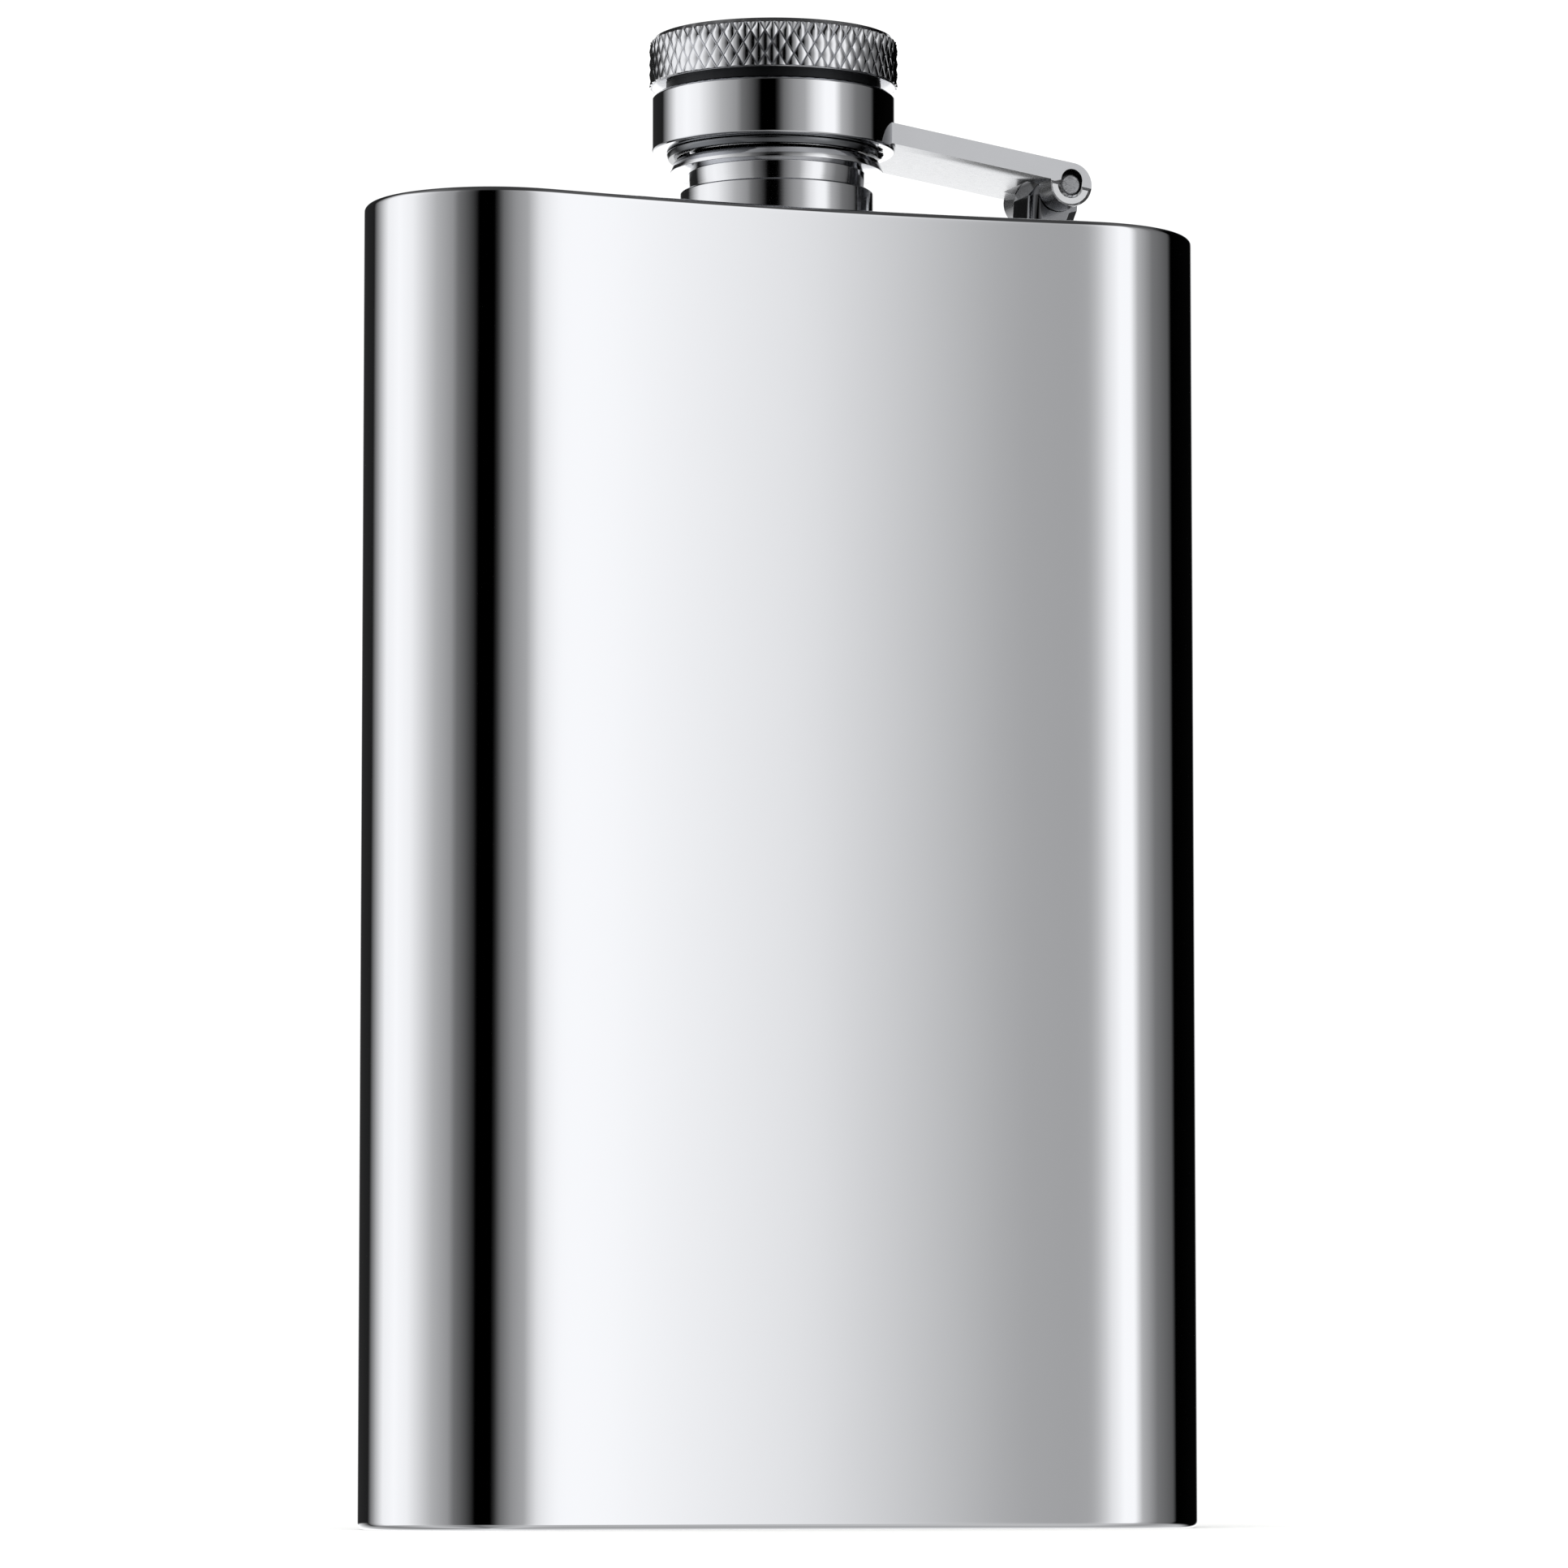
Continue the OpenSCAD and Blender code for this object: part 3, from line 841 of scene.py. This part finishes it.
upright = [e for e in bracket_bm.edges
           if len(e.link_faces) == 2 and e.calc_face_angle() > SHARP_ANGLE
           and abs(e.verts[0].co.y - e.verts[1].co.y) < JOIN
           and min(abs(v.co.x - pin.x) for v in e.verts) > ROUND_BEYOND * BRACKET_R
           and max(v.co.z for v in e.verts) < pin.z - ROUND_BELOW * BRACKET_R
           and e.verts[0].co.z != e.verts[1].co.z]
bmesh.ops.bevel(bracket_bm, geom=upright, offset=BRACKET_ROUND, segments=BRACKET_ROUND_SEGMENTS,
                profile=0.5, affect="EDGES", material=-1)
break_edges(bracket_bm, BROKEN_EDGE)
smooth(bracket_bm)
frame_flats(bracket_bm)
bracket_steel = polish("lightly_buffed_stainless_steel", colour="7C7D80", roughness=0.12,
                       spread=0.10, wave_depth=0.04 * MM)
bracket = piece("bracket", bracket_bm, bracket_steel, "flask",
                "hinge_bracket")
keep_flats_flat(bracket)


# ---------------------------------------------------------------- arm
# A flat bar with two rolled knuckles, stamped from sheet and fixed to the side of the collar.
# Its faces are satin and its cut sides are sheared and duller. The end of the roll shows as a
# small step round the lower half of each knuckle.
ARM_SLOPE = math.radians(8.6)
ARM_THICKNESS = 1.84 * MM
KNUCKLE_R = 1.95 * MM
FORK_DEPTH = 3.1 * MM
FORK_HALF = 2.9 * MM
HOLE_R = 1.0 * MM
SLOT_PLAY = 0.4 * MM
BURIED = 0.15 * MM
ROLL_EDGE = 0.22 * MM
ROLL_STEP = 0.14 * MM
KNUCKLE_STEPS = 56
SLOT_STEPS = 24
ARM_STATIONS = [-4.8 * MM, -3.9 * MM, -FORK_HALF, -1.5 * MM, 0]
STATION_MERGE_ANGLE = math.radians(0.5)
ARM_GRAIN = 0.12 * MM
ARM_GRAIN_DEPTH = 0.002 * MM

satin_steel, arm_tree, arm_shader = new_material("satin_stainless_steel")
arm_shader.inputs["Base Color"].default_value = linear("D0D1D3")
arm_shader.inputs["Metallic"].default_value = 1
arm_place = add(arm_tree, "TexCoord").outputs["Object"]
arm_stretch = add(arm_tree, "Mapping", {"Vector": arm_place, "Scale": (0.12, 1, 1)})
arm_grain = add(arm_tree, "TexNoise", {"Vector": arm_stretch.outputs[0],
                                       "Scale": 1 / ARM_GRAIN, "Detail": 3})
arm_gloss = add(arm_tree, "MapRange", {"Value": arm_grain.outputs[0], "To Min": 0.20,
                                       "To Max": 0.34})
arm_tree.links.new(arm_gloss.outputs[0], arm_shader.inputs["Roughness"])
arm_bump = add(arm_tree, "Bump", {"Height": arm_grain.outputs[0], "Distance": ARM_GRAIN_DEPTH})
arm_tree.links.new(arm_bump.outputs[0], arm_shader.inputs["Normal"])
sheared_steel = polish("sheared_stainless_steel", colour="BEBFC2", roughness=0.22, spread=0.08,
                       wave_depth=WAVE_DEPTH)

arm_lo, arm_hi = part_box("cap_arm")
under = KNUCKLE_R - ARM_THICKNESS
reach = pin.x - cap_x
roll_end = -180 - math.degrees(math.asin(under / KNUCKLE_R))
knuckle_outline = [(-FORK_DEPTH, under), (-FORK_DEPTH, KNUCKLE_R)]
knuckle_outline += arc_points(KNUCKLE_R, 90, roll_end, KNUCKLE_STEPS)
slot = arc_points(HOLE_R, -180, 0, SLOT_STEPS)
slot += [(x, z + SLOT_PLAY) for x, z in arc_points(HOLE_R, 0, 180, SLOT_STEPS)]


def cheeks(bm):
    """The flat faces at the two ends of the knuckles and of the bar."""
    return [f for f in bm.faces if abs(f.calc_center_median().y) > arm_hi.y - SAME]


arm_bm = bmesh.new()
knuckle = upright_face(arm_bm, arm_lo.y, knuckle_outline, slot)
fork_verts = [v for v in arm_bm.verts if abs(v.co.x - (pin.x - FORK_DEPTH)) < SAME]
fork_edge = arm_bm.edges.get(fork_verts)
bar_edge = raise_edges(arm_bm, [fork_edge], (FORK_DEPTH - reach, 0, 0))
stations = [arm_lo.y] + ARM_STATIONS
side = knuckle + list(bar_edge[0].link_faces)
for near, far in zip(stations, stations[1:]):
    if near == -FORK_HALF:
        side = [f for f in side if f.calc_center_median().x < pin.x - FORK_DEPTH]
    pulled = pull(arm_bm, side, far - near)
    if near != arm_lo.y:
        bmesh.ops.delete(arm_bm, geom=side, context="FACES")
    side = pulled
bmesh.ops.delete(arm_bm, geom=side, context="FACES")
bmesh.ops.mirror(arm_bm, geom=arm_bm.verts[:] + arm_bm.edges[:] + arm_bm.faces[:],
                 matrix=Matrix.Identity(4), merge_dist=SAME, axis="Y")
bmesh.ops.remove_doubles(arm_bm, verts=arm_bm.verts, dist=SAME)
bmesh.ops.recalc_face_normals(arm_bm, faces=arm_bm.faces)
bmesh.ops.bisect_plane(arm_bm, geom=arm_bm.verts[:] + arm_bm.edges[:] + arm_bm.faces[:],
                       plane_co=pin, plane_no=(0, 0, 1))
lower_half = [f for f in cheeks(arm_bm) if f.calc_center_median().z < pin.z]
bmesh.ops.inset_region(arm_bm, faces=lower_half, thickness=ROLL_EDGE, depth=-ROLL_STEP,
                       use_boundary=True, use_even_offset=True)
bmesh.ops.rotate(arm_bm, verts=arm_bm.verts, cent=pin,
                 matrix=Matrix.Rotation(ARM_SLOPE, 3, "Y"))
collar_r = (collar_hi.x - collar_lo.x) / 2 - BURIED
run = Vector((-math.cos(ARM_SLOPE), 0, math.sin(ARM_SLOPE)))
for vert in arm_bm.verts:
    if vert.co.x < pin.x - FORK_DEPTH * 2:
        stop = cap_x + math.sqrt(collar_r ** 2 - vert.co.y ** 2)
        vert.co += run * ((vert.co.x - stop) / math.cos(ARM_SLOPE))
bmesh.ops.dissolve_limit(arm_bm, angle_limit=STATION_MERGE_ANGLE, verts=arm_bm.verts,
                         edges=arm_bm.edges)
break_edges(arm_bm, BROKEN_EDGE)
for face in cheeks(arm_bm):
    face.material_index = 1
smooth(arm_bm)
frame_flats(arm_bm)
arm = piece("arm", arm_bm, satin_steel, "arm", "cap_arm")
arm.data.materials.append(sheared_steel)
keep_flats_flat(arm)
